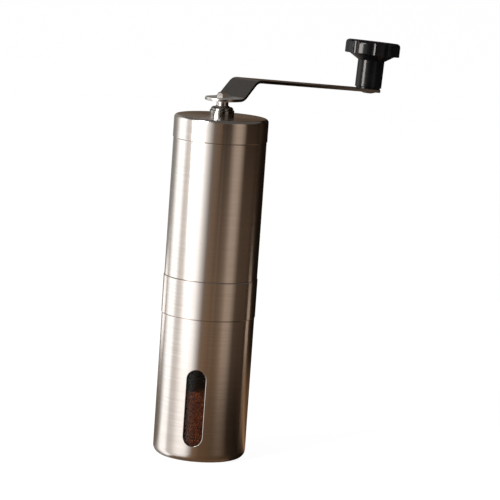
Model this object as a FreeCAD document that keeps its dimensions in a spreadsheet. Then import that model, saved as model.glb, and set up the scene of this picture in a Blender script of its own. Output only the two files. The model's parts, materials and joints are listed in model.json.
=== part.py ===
import FreeCAD, Part
import math
import os
import Sketcher

# Hand crank coffee grinder: a brushed steel cup, band, tube and lid on one axis, ceramic burrs inside, and a
# lift-off crank with a fluted knob. Millimetres, +Z up, origin at the middle of the cup's flat underside.
# The window faces -Y, and the crank stands at crank_angle from +X.

# Driving dimensions, one sheet cell each. Lengths are millimetres and angles are degrees.
DRIVING_SIZES = {
    # Steel body
    "body_radius": 24.3,
    "steel_wall": 0.8,
    "cup_height": 75.2,
    "band_height": 20.0,
    "tube_height": 72.0,
    "lid_height": 12.0,
    "proud": 0.3,
    "base_round": 4.3,
    "lid_round": 1.8,
    "seam_chamfer": 0.25,
    "window_width": 10.0,
    "window_length": 40.2,
    "window_bottom": 8.8,
    "window_rim": 0.25,
    # Clearances
    "press_gap": 0.05,
    "run_gap": 0.08,
    "push_gap": 0.12,
    "free_gap": 0.3,
    # Clear sleeve and carrier
    "sleeve_wall": 1.2,
    "spigot_height": 10.0,
    "spigot_wall": 3.2,
    "funnel_lip": 1.0,
    "throat_lip": 2.0,
    "seal_radius": 0.85,
    "spider_hub_radius": 7.8,
    "spider_arm_width": 4.5,
    "spider_arm_height": 6.0,
    "spider_arm_drop": 2.0,
    "spider_arm_count": 3,
    # Burrs
    "seat_height": 2.0,
    "ring_height": 14.0,
    "ring_narrowing": 2.0,
    "ring_flare": 0.3,
    "fine_height": 5.0,
    "burr_gap": 0.45,
    "cone_drop": 1.0,
    "cone_height": 14.0,
    "cone_top": 6.8,
    "tooth_depth": 0.5,
    "tooth_width": 0.9,
    "tooth_count": 24,
    "rib_depth": 1.1,
    "rib_width": 3.0,
    "rib_count": 6,
    "lug_reach": 1.2,
    "lug_width": 5.0,
    "lug_height": 4.0,
    "lug_count": 3,
    # Burr clamp and its screws
    "clamp_margin": 1.7,
    "clamp_land": 2.88,
    "clamp_thickness": 2.0,
    "screw_radius": 0.9,
    "screw_length": 6.0,
    "screw_head_radius": 1.4,
    "screw_head_height": 1.2,
    "screw_slot": 0.5,
    # Shaft and what it carries
    "shaft_radius": 3.1,
    "thread_radius": 2.5,
    "thread_length": 14.0,
    "shaft_tip": 2.5,
    "tip_chamfer": 0.7,
    "bush_radius": 5.2,
    "bush_stand": 0.4,
    "washer_thickness": 0.6,
    "washer_radius": 6.0,
    "clip_radius": 5.2,
    "clip_groove": 0.6,
    "hub_radius": 5.4,
    "hub_flange_radius": 8.2,
    "hub_flange": 2.0,
    "hub_pocket_radius": 4.7,
    "hub_pocket_depth": 9.0,
    "spring_radius": 4.0,
    "spring_wire": 0.35,
    "spring_turns": 5,
    "spring_head": 2.0,
    # Grind dial
    "dial_radius": 9.5,
    "dial_height": 9.0,
    "dial_web": 0.8,
    "dial_flute": 1.4,
    "dial_flute_count": 14,
    "dial_notch": 0.35,
    "dial_notch_count": 18,
    "nut_radius": 4.6,
    "nut_height": 6.0,
    # Lid
    "liner_wall": 1.4,
    "liner_top": 2.4,
    "liner_depth": 7.0,
    "boss_radius": 6.4,
    "boss_height": 3.3,
    "boss_groove": 0.35,
    "boss_ring_radius": 5.8,
    "boss_ring_height": 1.2,
    "boss_collar": 0.7,
    "boss_tail_radius": 4.6,
    "lid_nut_radius": 7.4,
    "lid_nut_height": 3.4,
    # Crank arm
    "crank_angle": 58.0,
    "arm_lift": 8.15,
    "arm_thickness": 1.7,
    "arm_length": 120.4,
    "arm_hub_radius": 9.3,
    "arm_end_radius": 7.0,
    "bend_start": 6.0,
    "bend_end": 16.6,
    "arm_rise": 9.55,
    "arm_fall": 4.25,
    "bend_radius": 6.0,
    "arm_edge": 0.35,
    # Knob
    "knob_height": 25.4,
    "head_radius": 15.0,
    "head_height": 7.4,
    "head_round": 2.0,
    "head_underside": 12.4,
    "neck_flare": 3.2,
    "neck_radius": 7.3,
    "flute_count": 10,
    "flute_radius": 4.0,
    "flute_depth": 0.75,
    "flute_edge": 0.4,
    "spindle_radius": 3.0,
    "spindle_foot": 2.4,
    "spindle_head_radius": 5.0,
    "spindle_head": 1.4,
    "rivet_radius": 4.0,
    "rivet_height": 0.9,
    "cap_radius": 6.6,
    "cap_height": 1.9,
    "knob_washer_radius": 6.6,
}

# Counts, shares and tolerances that aren't sizes of the object
HEXAGON_COUNT = 6
PENTAGON_COUNT = 5
TOUCHING = 0.01
SPREAD = 0.1
MOUTH_SHARE = 0.711
EDGE_SHARES = (0.05, 0.35, 0.65, 0.95)
SPRING_STEP_COUNT = 400

doc = FreeCAD.newDocument("coffee_grinder")
sheet = doc.addObject("Spreadsheet::Sheet", "Sizes")
for row, (alias, number) in enumerate(DRIVING_SIZES.items(), start=1):
    sheet.set(f"A{row}", alias)
    sheet.set(f"B{row}", str(number))
    sheet.setAlias(f"B{row}", alias)
doc.recompute()


class Size:
    """A number worked out from the sheet: its value, and the expression that keeps it tied to the cells."""

    def __init__(self, value, text):
        self.value = float(value)
        self.text = text

    def __add__(self, other):
        other = as_size(other)
        return Size(self.value + other.value, f"({self.text} + {other.text})")

    def __sub__(self, other):
        other = as_size(other)
        return Size(self.value - other.value, f"({self.text} - {other.text})")

    def __mul__(self, other):
        other = as_size(other)
        return Size(self.value * other.value, f"({self.text} * {other.text})")

    def __truediv__(self, other):
        other = as_size(other)
        return Size(self.value / other.value, f"({self.text} / {other.text})")

    def __rsub__(self, other):
        return as_size(other) - self

    def __neg__(self):
        return Size(-self.value, f"(-1 * {self.text})")


def as_size(amount):
    """A plain number as a Size, so that it can stand in a formula."""
    if isinstance(amount, Size):
        return amount
    return Size(amount, str(amount))


def sine(degrees):
    angle = as_size(degrees)
    return Size(math.sin(math.radians(angle.value)), f"sin({angle.text} * 1 deg)")


def cosine(degrees):
    angle = as_size(degrees)
    return Size(math.cos(math.radians(angle.value)), f"cos({angle.text} * 1 deg)")


def tangent(degrees):
    return sine(degrees) / cosine(degrees)


def slope_angle(rise, run):
    """Angle in degrees of a line with this rise over this run."""
    return Size(math.degrees(math.atan(rise.value / run.value)), f"(atan({rise.text} / {run.text}) / 1 deg)")


def root(amount):
    return Size(math.sqrt(amount.value), f"sqrt({amount.text})")


class SheetSizes:
    """Driving dimensions by name."""

    def __getattr__(self, alias):
        return Size(sheet.get(alias), f"Sizes.{alias}")


size = SheetSizes()
ZERO = Size(0, "0")


def left(radius):
    """The stretch after a corner is an arc that turns left."""
    return (1, radius)


def right(radius):
    """The stretch after a corner is an arc that turns right."""
    return (-1, radius)


def plane(body, role):
    return next(feature for feature in body.Origin.OriginFeatures if feature.Role == role)


def new_body(node):
    body = doc.addObject("PartDesign::Body", node)
    body.Label = node
    return body


def new_sketch(body, name, role, frame=None):
    """Sketch on one of the body's own planes, moved from it by the frame, an expression for a placement."""
    sketch = body.newObject("Sketcher::SketchObject", name)
    sketch.AttachmentSupport = [(plane(body, role), "")]
    sketch.MapMode = "FlatFace"
    if frame is not None:
        sketch.setExpression("AttachmentOffset", frame)
    return sketch


def frame_at(x=ZERO, y=ZERO, z=ZERO, turn=ZERO, tilt=ZERO):
    """Placement expression: turned about Z, tilted about Y, then moved."""
    return (
        f"placement(vector({x.text}; {y.text}; {z.text}); "
        f"rotation(vector(0; 0; 1); {turn.text}) * rotation(vector(0; 1; 0); {tilt.text}))"
    )


def arc_between(start, end, turn, radius):
    """Minor arc from start to end, turning left (1) or right (-1)."""
    chord = end - start
    middle = (start + end) * 0.5
    side = FreeCAD.Vector(-chord.y, chord.x, 0).normalize()
    rise = math.sqrt(max(radius**2 - (chord.Length / 2) ** 2, 0.0))
    centre = middle + side * (rise * turn)
    first, last = (start, end) if turn > 0 else (end, start)
    first_angle = math.atan2(first.y - centre.y, first.x - centre.x)
    last_angle = math.atan2(last.y - centre.y, last.x - centre.x)
    if last_angle <= first_angle:
        last_angle += 2 * math.pi
    circle = Part.Circle(centre, FreeCAD.Vector(0, 0, 1), radius)
    return Part.ArcOfCircle(circle, first_angle, last_angle)


def bind(sketch, constraint, amount):
    """Adds a sketch dimension and ties it to the sheet."""
    index = sketch.addConstraint(constraint)
    sketch.setExpression(f"Constraints[{index}]", amount.text)


def add_loop(sketch, corners):
    """Closed loop through the corners: (x, y), or (x, y, left(r)) where an arc leaves the corner."""
    points = [FreeCAD.Vector(corner[0].value, corner[1].value, 0) for corner in corners]
    first = sketch.GeometryCount
    ends = []
    for index, corner in enumerate(corners):
        start = points[index]
        end = points[(index + 1) % len(points)]
        if len(corner) == 2:
            sketch.addGeometry(Part.LineSegment(start, end))
            ends.append((1, 2))
        else:
            turn, radius = corner[2]
            sketch.addGeometry(arc_between(start, end, turn, radius.value))
            ends.append((1, 2) if turn > 0 else (2, 1))
    for index, corner in enumerate(corners):
        after = (index + 1) % len(corners)
        joined = (first + index, ends[index][1], first + after, ends[after][0])
        sketch.addConstraint(Sketcher.Constraint("Coincident", *joined))
        if len(corner) == 3:
            radius = corner[2][1]
            bind(sketch, Sketcher.Constraint("Radius", first + index, radius.value), radius)
    for index, corner in enumerate(corners):
        place = (-1, 1, first + index, ends[index][0])
        bind(sketch, Sketcher.Constraint("DistanceX", *place, corner[0].value), corner[0])
        bind(sketch, Sketcher.Constraint("DistanceY", *place, corner[1].value), corner[1])


def add_circle(sketch, radius, x=ZERO, y=ZERO):
    centre = FreeCAD.Vector(x.value, y.value, 0)
    index = sketch.addGeometry(Part.Circle(centre, FreeCAD.Vector(0, 0, 1), radius.value))
    bind(sketch, Sketcher.Constraint("Radius", index, radius.value), radius)
    bind(sketch, Sketcher.Constraint("DistanceX", -1, 1, index, 3, x.value), x)
    bind(sketch, Sketcher.Constraint("DistanceY", -1, 1, index, 3, y.value), y)


def box_corners(x_low, x_high, y_low, y_high):
    return [(x_low, y_low), (x_high, y_low), (x_high, y_high), (x_low, y_high)]


def polygon_corners(radius, sides):
    steps = [360 / sides * step for step in range(sides)]
    return [(radius * cosine(angle), radius * sine(angle)) for angle in steps]


def turned(node, corners):
    """Body of revolution about Z from a profile of (radius, height) corners."""
    body = new_body(node)
    sketch = new_sketch(body, f"{node}_profile", "XZ_Plane")
    add_loop(sketch, corners)
    feature = body.newObject("PartDesign::Revolution", f"{node}_turned")
    feature.Profile = sketch
    feature.ReferenceAxis = (sketch, ["V_Axis"])
    feature.Angle = 360.0
    doc.recompute()
    return body


def washer(node, bore, radius, low, high):
    return turned(node, box_corners(bore, radius, low, high))


def pad(body, name, sketch, length):
    feature = body.newObject("PartDesign::Pad", name)
    feature.Profile = sketch
    feature.setExpression("Length", length.text)
    doc.recompute()
    return feature


def pocket(body, name, sketch, length, upward=True, symmetric=False):
    """Cuts along the sketch's normal, against it, or both ways, and makes sure that something was cut."""
    before = body.Shape.Volume
    feature = body.newObject("PartDesign::Pocket", name)
    feature.Profile = sketch
    feature.setExpression("Length", length.text)
    feature.Reversed = upward
    if symmetric:
        feature.SideType = "Symmetric"
    doc.recompute()
    if body.Shape.Volume >= before:
        raise RuntimeError(f"{name} cuts nothing")
    return feature


def around(body, name, feature, count):
    """Repeats a feature evenly about Z."""
    pattern = body.newObject("PartDesign::PolarPattern", name)
    pattern.Originals = [feature]
    pattern.Axis = (plane(body, "Z_Axis"), [""])
    pattern.Angle = 360.0
    pattern.setExpression("Occurrences", count.text)
    body.Tip = pattern
    doc.recompute()
    return pattern


def edges_where(shape, test):
    """Names of the edges whose points all pass the test."""
    names = []
    for index, edge in enumerate(shape.Edges, start=1):
        points = [edge.valueAt(parameter) for parameter in sample(edge)]
        if all(test(point) for point in points):
            names.append(f"Edge{index}")
    return names


def sample(edge):
    first, last = edge.ParameterRange
    return [first + (last - first) * share for share in EDGE_SHARES]


def soften(body, kind, name, edge_names, amount):
    """Rounds (Fillet) or bevels (Chamfer) edges of the body's last feature."""
    feature = body.newObject(f"PartDesign::{kind}", name)
    feature.Base = (body.Tip if body.Tip != feature else feature.BaseFeature, edge_names)
    feature.setExpression("Radius" if kind == "Fillet" else "Size", amount.text)
    doc.recompute()
    return feature


def polygon_bore(body, name, radius, sides, low, height):
    sketch = new_sketch(body, f"{name}_sketch", "XY_Plane", frame_at(z=low))
    add_loop(sketch, polygon_corners(radius, sides))
    pocket(body, name, sketch, height)


def polygon_flats(body, name, radius, sides, low, height):
    """Mills a round bar of this radius to a polygon with its corners on the bar's surface."""
    sketch = new_sketch(body, f"{name}_sketch", "XY_Plane", frame_at(z=low))
    add_loop(sketch, polygon_corners(radius, sides))
    add_circle(sketch, radius * 2)
    pocket(body, name, sketch, height)


def round_bore(body, name, radius, low, height, x=ZERO, y=ZERO):
    sketch = new_sketch(body, f"{name}_sketch", "XY_Plane", frame_at(z=low))
    add_circle(sketch, radius, x, y)
    return pocket(body, name, sketch, height)


def side_flutes(body, name, corners, width, count):
    """Straight flutes that follow a slanted surface: a side outline of given width, repeated about Z."""
    sketch = new_sketch(body, f"{name}_sketch", "XZ_Plane")
    add_loop(sketch, corners)
    cut = pocket(body, name, sketch, width, symmetric=True)
    around(body, f"{name}_around", cut, count)


# Levels and radii that several pieces share

band_bottom = size.cup_height
band_top = band_bottom + size.band_height
tube_top = band_top + size.tube_height
lid_top = tube_top + size.lid_height
inner_radius = size.body_radius - size.steel_wall
trim_radius = size.body_radius + size.proud
trim_inner = trim_radius - size.steel_wall

cup_floor = size.steel_wall
spigot_radius = inner_radius - size.push_gap
spigot_bottom = band_bottom - size.spigot_height
spigot_bore = spigot_radius - size.spigot_wall
carrier_top = band_top + size.spigot_height

ring_seat = band_bottom + size.seat_height
ring_top = ring_seat + size.ring_height
throat_level = ring_top + size.throat_lip
fine_top = ring_seat + size.fine_height
fine_slope = size.ring_narrowing / size.fine_height
ring_radius = spigot_bore - size.clamp_land
ring_bore = ring_radius + size.press_gap
ring_mouth = ring_radius * MOUTH_SHARE
ring_throat = ring_mouth - size.ring_narrowing
ring_inlet = ring_mouth + size.ring_flare
clamp_bore = ring_mouth + size.clamp_margin

cone_bottom = ring_seat - size.cone_drop
cone_top_level = cone_bottom + size.cone_height
cone_base = ring_mouth - size.burr_gap + fine_slope * size.cone_drop
cone_waist = ring_throat - size.burr_gap
hub_bottom = cone_bottom - size.hub_flange
hub_pocket_floor = cone_top_level - size.hub_pocket_depth

bush_bottom = cone_top_level + size.spring_head + size.washer_thickness
bush_top = carrier_top + size.bush_stand
shaft_bore = size.shaft_radius + size.run_gap
spring_top = bush_bottom - size.washer_thickness
thrust_top = bush_top + size.washer_thickness

clamp_radius = spigot_bore - size.free_gap
screw_circle = spigot_bore - size.push_gap - size.screw_head_radius
screw_step = as_size(180) / size.lug_count

arm_bottom = lid_top + size.arm_lift
arm_top = arm_bottom + size.arm_thickness
bend_slope = slope_angle(size.arm_rise, size.bend_end - size.bend_start)
seat_level = arm_top + size.arm_rise - (size.arm_length - size.bend_end) * tangent(size.arm_fall)


def screw_place(bearing):
    """Place of a clamp screw at this bearing."""
    return screw_circle * cosine(bearing), screw_circle * sine(bearing)


def cup_shell():
    outer, inner = size.body_radius, inner_radius
    inner_round = size.base_round - size.steel_wall
    body = turned("cup_shell", [
        (ZERO, ZERO),
        (outer - size.base_round, ZERO, left(size.base_round)),
        (outer, size.base_round),
        (outer, band_bottom - size.seam_chamfer),
        (outer - size.seam_chamfer, band_bottom),
        (inner, band_bottom),
        (inner, size.base_round, right(inner_round)),
        (inner - inner_round, cup_floor),
        (ZERO, cup_floor),
    ])
    half = size.window_width / 2
    low = size.window_bottom
    high = size.window_bottom + size.window_length
    sketch = new_sketch(body, "window_outline", "XZ_Plane")
    add_loop(sketch, [
        (half, low + half),
        (half, high - half, left(half)),
        (ZERO, high, left(half)),
        (-half, high - half),
        (-half, low + half, left(half)),
        (ZERO, low, left(half)),
    ])
    pocket(body, "window_slot", sketch, size.body_radius * 2)
    on_rim = edges_where(
        body.Shape,
        lambda point: point.y < 0
        and abs(point.x) < size.window_width.value
        and low.value - TOUCHING < point.z < high.value + TOUCHING
        and abs(math.hypot(point.x, point.y) - outer.value) < TOUCHING,
    )
    soften(body, "Chamfer", "window_bevel", on_rim, size.window_rim)
    return body


def cup_window():
    outer = inner_radius - size.push_gap
    inner = outer - size.sleeve_wall
    low = cup_floor
    high = spigot_bottom - size.free_gap
    outer_round = size.base_round - size.steel_wall
    inner_round = outer_round - size.sleeve_wall
    return turned("cup_window", [
        (ZERO, low),
        (outer - outer_round, low, left(outer_round)),
        (outer, low + outer_round),
        (outer, high),
        (inner, high),
        (inner, low + outer_round, right(inner_round)),
        (inner - inner_round, low + size.sleeve_wall),
        (ZERO, low + size.sleeve_wall),
    ])


def middle_band():
    bevel = size.seam_chamfer
    return turned("middle_band", [
        (trim_inner, band_bottom),
        (trim_radius - bevel, band_bottom),
        (trim_radius, band_bottom + bevel),
        (trim_radius, band_top - bevel),
        (trim_radius - bevel, band_top),
        (trim_inner, band_top),
    ])


def hopper_tube():
    bevel = size.seam_chamfer
    outer = size.body_radius
    return turned("hopper_tube", [
        (inner_radius, band_top),
        (outer - bevel, band_top),
        (outer, band_top + bevel),
        (outer, tube_top - bevel),
        (outer - bevel, tube_top),
        (inner_radius, tube_top),
    ])


def burr_carrier():
    flange = trim_inner - size.press_gap
    groove_radius = inner_radius - size.press_gap - size.seal_radius * 2 - size.press_gap
    groove_middle = band_bottom - size.spigot_height / 2
    groove_half = size.seal_radius + size.press_gap
    body = turned("burr_carrier", [
        (spigot_bore, spigot_bottom),
        (spigot_radius, spigot_bottom),
        (spigot_radius, groove_middle - groove_half),
        (groove_radius, groove_middle - groove_half),
        (groove_radius, groove_middle + groove_half),
        (spigot_radius, groove_middle + groove_half),
        (spigot_radius, band_bottom),
        (flange, band_bottom),
        (flange, band_top),
        (spigot_radius, band_top),
        (spigot_radius, carrier_top),
        (spigot_radius - size.funnel_lip, carrier_top),
        (ring_inlet, throat_level),
        (ring_inlet, ring_top),
        (ring_bore, ring_top),
        (ring_bore, ring_seat),
        (spigot_bore, ring_seat),
    ])
    half_arm = size.spider_arm_width / 2
    arm_level = carrier_top - size.spider_arm_drop - size.spider_arm_height
    arms = new_sketch(body, "spider_arm_sketch", "XY_Plane", frame_at(z=arm_level))
    add_loop(arms, box_corners(ZERO, spigot_radius - size.funnel_lip, -half_arm, half_arm))
    first_arm = pad(body, "spider_arm", arms, size.spider_arm_height)
    around(body, "spider_arms", first_arm, size.spider_arm_count)
    hub = new_sketch(body, "spider_hub_sketch", "XY_Plane", frame_at(z=bush_bottom))
    add_circle(hub, size.spider_hub_radius)
    pad(body, "spider_hub", hub, carrier_top - bush_bottom)
    bush_bore = size.bush_radius + size.press_gap
    round_bore(body, "bush_bore", bush_bore, bush_bottom, carrier_top - bush_bottom)
    half_lug = size.lug_width / 2 + size.press_gap
    lugs = new_sketch(body, "lug_seat_sketch", "XY_Plane", frame_at(z=ring_seat))
    lug_reach = ring_bore + size.lug_reach + size.press_gap
    add_loop(lugs, box_corners(ring_radius - size.lug_reach, lug_reach, -half_lug, half_lug))
    first_lug = pocket(body, "lug_seat", lugs, size.lug_height + size.press_gap)
    around(body, "lug_seats", first_lug, size.lug_count)
    hole_radius = size.screw_radius + size.press_gap
    x, y = screw_place(screw_step)
    first_hole = round_bore(body, "screw_hole", hole_radius, ring_seat, size.screw_length, x, y)
    around(body, "screw_holes", first_hole, size.lug_count)
    return body


def cup_seal():
    ring = doc.addObject("Part::Torus", "cup_seal")
    ring.Label = "cup_seal"
    ring.setExpression("Radius1", (inner_radius - size.press_gap - size.seal_radius).text)
    ring.setExpression("Radius2", size.seal_radius.text)
    ring.setExpression("Placement.Base.z", (band_bottom - size.spigot_height / 2).text)
    return ring


def outer_burr():
    body = turned("outer_burr", [
        (ring_mouth, ring_seat),
        (ring_radius, ring_seat),
        (ring_radius, ring_top),
        (ring_inlet, ring_top),
        (ring_throat, fine_top),
    ])
    half_lug = size.lug_width / 2
    lugs = new_sketch(body, "ring_lug_sketch", "XY_Plane", frame_at(z=ring_seat))
    lug_root = ring_radius - size.lug_reach
    add_loop(lugs, box_corners(lug_root, ring_radius + size.lug_reach, -half_lug, half_lug))
    first_lug = pad(body, "ring_lug", lugs, size.lug_height)
    around(body, "ring_lugs", first_lug, size.lug_count)
    inside = ring_throat - size.rib_depth
    side_flutes(body, "ring_teeth", [
        (inside, ring_seat),
        (ring_mouth + size.tooth_depth, ring_seat),
        (ring_throat + size.tooth_depth, fine_top),
        (inside, fine_top),
    ], size.tooth_width, size.tooth_count)
    side_flutes(body, "ring_ribs", [
        (inside, fine_top),
        (ring_throat + size.tooth_depth, fine_top),
        (ring_inlet + size.rib_depth, ring_top),
        (inside, ring_top),
    ], size.rib_width, size.rib_count)
    return body


def inner_burr():
    bore = size.hub_radius + size.press_gap
    body = turned("inner_burr", [
        (bore, cone_bottom),
        (cone_base, cone_bottom),
        (cone_waist, fine_top),
        (size.cone_top, cone_top_level),
        (bore, cone_top_level),
    ])
    outside = cone_base + size.tooth_depth
    side_flutes(body, "cone_teeth", [
        (cone_base - size.tooth_depth, cone_bottom),
        (outside, cone_bottom),
        (outside, fine_top),
        (cone_waist - size.tooth_depth, fine_top),
    ], size.tooth_width, size.tooth_count)
    side_flutes(body, "cone_ribs", [
        (cone_waist - size.tooth_depth, fine_top),
        (outside, fine_top),
        (outside, cone_top_level),
        (size.cone_top - size.rib_depth, cone_top_level),
    ], size.rib_width, size.rib_count)
    return body


def burr_clamp():
    low = ring_seat - size.clamp_thickness
    body = washer("burr_clamp", clamp_bore, clamp_radius, low, ring_seat)
    x, y = screw_place(screw_step)
    hole = round_bore(body, "clamp_hole", size.screw_radius + size.press_gap, low, size.clamp_thickness, x, y)
    around(body, "clamp_holes", hole, size.lug_count)
    return body


def clamp_screws():
    """Slotted screws through the clamp ring, up into the carrier, one between each two lugs."""
    low = ring_seat - size.clamp_thickness
    head = low - size.screw_head_height
    bodies = []
    for number in range(1, round(size.lug_count.value) + 1):
        node = f"clamp_screw_{number}"
        body = turned(node, [
            (ZERO, head),
            (size.screw_head_radius, head),
            (size.screw_head_radius, low),
            (size.screw_radius, low),
            (size.screw_radius, ring_seat + size.screw_length),
            (ZERO, ring_seat + size.screw_length),
        ])
        half_slot = size.screw_slot / 2
        slot = new_sketch(body, f"{node}_slot_sketch", "XY_Plane", frame_at(z=head))
        reach = size.screw_head_radius * 2
        add_loop(slot, box_corners(-reach, reach, -half_slot, half_slot))
        pocket(body, f"{node}_slot", slot, size.screw_head_height / 2)
        bearing = screw_step * (2 * number - 1)
        x, y = screw_place(bearing)
        body.setExpression("Placement", frame_at(x=x, y=y, turn=bearing))
        bodies.append(body)
    return bodies


def drive_shaft():
    tail = hub_bottom - size.thread_length
    groove = size.shaft_radius - size.clip_groove
    tip = arm_top + size.shaft_tip
    body = turned("drive_shaft", [
        (ZERO, tail),
        (size.thread_radius, tail),
        (size.thread_radius, hub_bottom),
        (size.shaft_radius, hub_bottom),
        (size.shaft_radius, thrust_top),
        (groove, thrust_top),
        (groove, thrust_top + size.washer_thickness),
        (size.shaft_radius, thrust_top + size.washer_thickness),
        (size.shaft_radius, tip - size.tip_chamfer),
        (size.shaft_radius - size.tip_chamfer, tip),
        (ZERO, tip),
    ])
    hexagon_top = cone_top_level + size.press_gap
    polygon_flats(body, "burr_hexagon", size.shaft_radius, HEXAGON_COUNT, hub_bottom, hexagon_top - hub_bottom)
    polygon_flats(body, "crank_pentagon", size.shaft_radius, PENTAGON_COUNT, arm_bottom, tip - arm_bottom)
    body.setExpression("Placement", frame_at(turn=size.crank_angle))
    return body


def shaft_bush():
    return washer("shaft_bush", shaft_bore, size.bush_radius, bush_bottom, bush_top)


def thrust_washer():
    return washer("thrust_washer", shaft_bore, size.washer_radius, bush_top, thrust_top)


def shaft_clip():
    bore = size.shaft_radius - size.clip_groove + size.press_gap
    return washer("shaft_clip", bore, size.clip_radius, thrust_top, thrust_top + size.washer_thickness)


def spring_washer():
    return washer("spring_washer", shaft_bore, size.bush_radius, spring_top, bush_bottom)


def biarc(start, start_way, end, end_way):
    """Two arcs that join smoothly and leave and arrive along the given unit directions."""
    step = end - start
    ways = start_way + end_way
    spread = 2 * (1 - start_way.dot(end_way))
    along = step.dot(ways)
    reach = (math.sqrt(along**2 + spread * step.dot(step)) - along) / spread
    joint = (start + start_way * reach + end - end_way * reach) * 0.5
    arcs = []
    for first, corner, last in (
        (start, start + start_way * reach, joint),
        (joint, end - end_way * reach, end),
    ):
        middle = (first + last) * 0.5
        to_corner = corner - middle
        half_turn = math.asin(min(to_corner.Length / reach, 1.0))
        sagitta = reach * math.cos(half_turn) * math.tan(half_turn / 2)
        arcs.append(Part.Arc(first, middle + to_corner.normalize() * sagitta, last).toShape())
    return arcs


def burr_spring():
    """Helical spring between the hub's pocket and the washer under the bush, one unbroken wire."""
    radius = size.spring_radius.value
    wire_radius = size.spring_wire.value
    turns = size.spring_turns.value
    low = hub_pocket_floor.value + wire_radius + size.press_gap.value
    high = spring_top.value - wire_radius - size.press_gap.value
    climb = (high - low) / turns
    quarter_turns = round(turns * 4)

    def point(angle):
        return FreeCAD.Vector(
            radius * math.cos(angle), radius * math.sin(angle), low + climb * angle / (2 * math.pi)
        )

    def way(angle):
        heading = FreeCAD.Vector(-radius * math.sin(angle), radius * math.cos(angle), climb / (2 * math.pi))
        return heading.normalize()

    angles = [turns * 2 * math.pi * step / quarter_turns for step in range(quarter_turns + 1)]
    edges = []
    for start, end in zip(angles, angles[1:]):
        edges += biarc(point(start), way(start), point(end), way(end))
    path = Part.Wire(edges)
    section = Part.Wire([Part.Circle(point(0), way(0), wire_radius).toShape()])
    tube = path.makePipeShell([section], True, False)
    spring = doc.addObject("Part::Feature", "burr_spring")
    spring.Label = "burr_spring"
    spring.Shape = Part.Solid(Part.Shell(tube.Faces)) if tube.ShapeType != "Solid" else tube
    spring.Placement = FreeCAD.Placement()
    places = [point(angles[-1] * step / SPRING_STEP_COUNT) for step in range(SPRING_STEP_COUNT + 1)]
    half_turn = int(SPRING_STEP_COUNT / turns / 2)
    gaps = [
        (later - earlier).Length - 2 * wire_radius
        for index, earlier in enumerate(places)
        for later in places[index + half_turn:]
    ]
    print(f"burr_spring least gap to itself {min(gaps):.2f} mm")
    return spring


def burr_hub():
    body = turned("burr_hub", [
        (ZERO, hub_bottom),
        (size.hub_flange_radius, hub_bottom),
        (size.hub_flange_radius, cone_bottom),
        (size.hub_radius, cone_bottom),
        (size.hub_radius, cone_top_level),
        (size.hub_pocket_radius, cone_top_level),
        (size.hub_pocket_radius, hub_pocket_floor),
        (ZERO, hub_pocket_floor),
    ])
    grip = size.shaft_radius + size.run_gap
    polygon_bore(body, "hub_hexagon", grip, HEXAGON_COUNT, hub_bottom, hub_pocket_floor - hub_bottom)
    body.setExpression("Placement", frame_at(turn=size.crank_angle))
    return body


def adjuster_dial():
    low = hub_bottom - size.dial_height
    nut_top = hub_bottom - size.dial_web
    body = washer("adjuster_dial", shaft_bore + size.push_gap, size.dial_radius, low, hub_bottom)
    polygon_bore(body, "nut_pocket", size.nut_radius + size.press_gap, HEXAGON_COUNT, low, nut_top - low)
    first_flute = round_bore(body, "dial_flute_cut", size.dial_flute, low, size.dial_height, x=size.dial_radius)
    around(body, "dial_flutes", first_flute, size.dial_flute_count)
    notch = new_sketch(body, "dial_notch_sketch", "XY_Plane", frame_at(z=hub_bottom - size.dial_notch))
    half_notch = size.dial_notch
    add_loop(notch, box_corners(size.hub_radius, size.dial_radius * 2, -half_notch, half_notch))
    first_notch = pocket(body, "dial_notch_cut", notch, size.dial_notch * 2)
    around(body, "dial_notches", first_notch, size.dial_notch_count)
    return body


def dial_nut():
    high = hub_bottom - size.dial_web
    body = new_body("dial_nut")
    sketch = new_sketch(body, "dial_nut_sketch", "XY_Plane", frame_at(z=high - size.nut_height))
    add_loop(sketch, polygon_corners(size.nut_radius, HEXAGON_COUNT))
    add_circle(sketch, size.thread_radius + size.run_gap)
    pad(body, "dial_nut_pad", sketch, size.nut_height)
    return body


def lid_shell():
    bevel = size.seam_chamfer
    inner_round = size.lid_round - size.steel_wall
    ceiling = lid_top - size.steel_wall
    hole = size.boss_tail_radius + size.press_gap
    return turned("lid_shell", [
        (hole, ceiling),
        (trim_inner - inner_round, ceiling, right(inner_round)),
        (trim_inner, ceiling - inner_round),
        (trim_inner, tube_top),
        (trim_radius - bevel, tube_top),
        (trim_radius, tube_top + bevel),
        (trim_radius, lid_top - size.lid_round, left(size.lid_round)),
        (trim_radius - size.lid_round, lid_top),
        (hole, lid_top),
    ])


def lid_liner():
    ceiling = lid_top - size.steel_wall
    upper = trim_inner - size.press_gap
    plug = inner_radius - size.push_gap
    bore = plug - size.liner_wall
    bevel = size.lid_round - size.steel_wall
    hole = size.boss_tail_radius + size.press_gap
    return turned("lid_liner", [
        (hole, ceiling - size.liner_top),
        (bore, ceiling - size.liner_top),
        (bore, tube_top - size.liner_depth),
        (plug, tube_top - size.liner_depth),
        (plug, tube_top),
        (upper, tube_top),
        (upper, ceiling - bevel),
        (upper - bevel, ceiling),
        (hole, ceiling),
    ])


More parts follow.
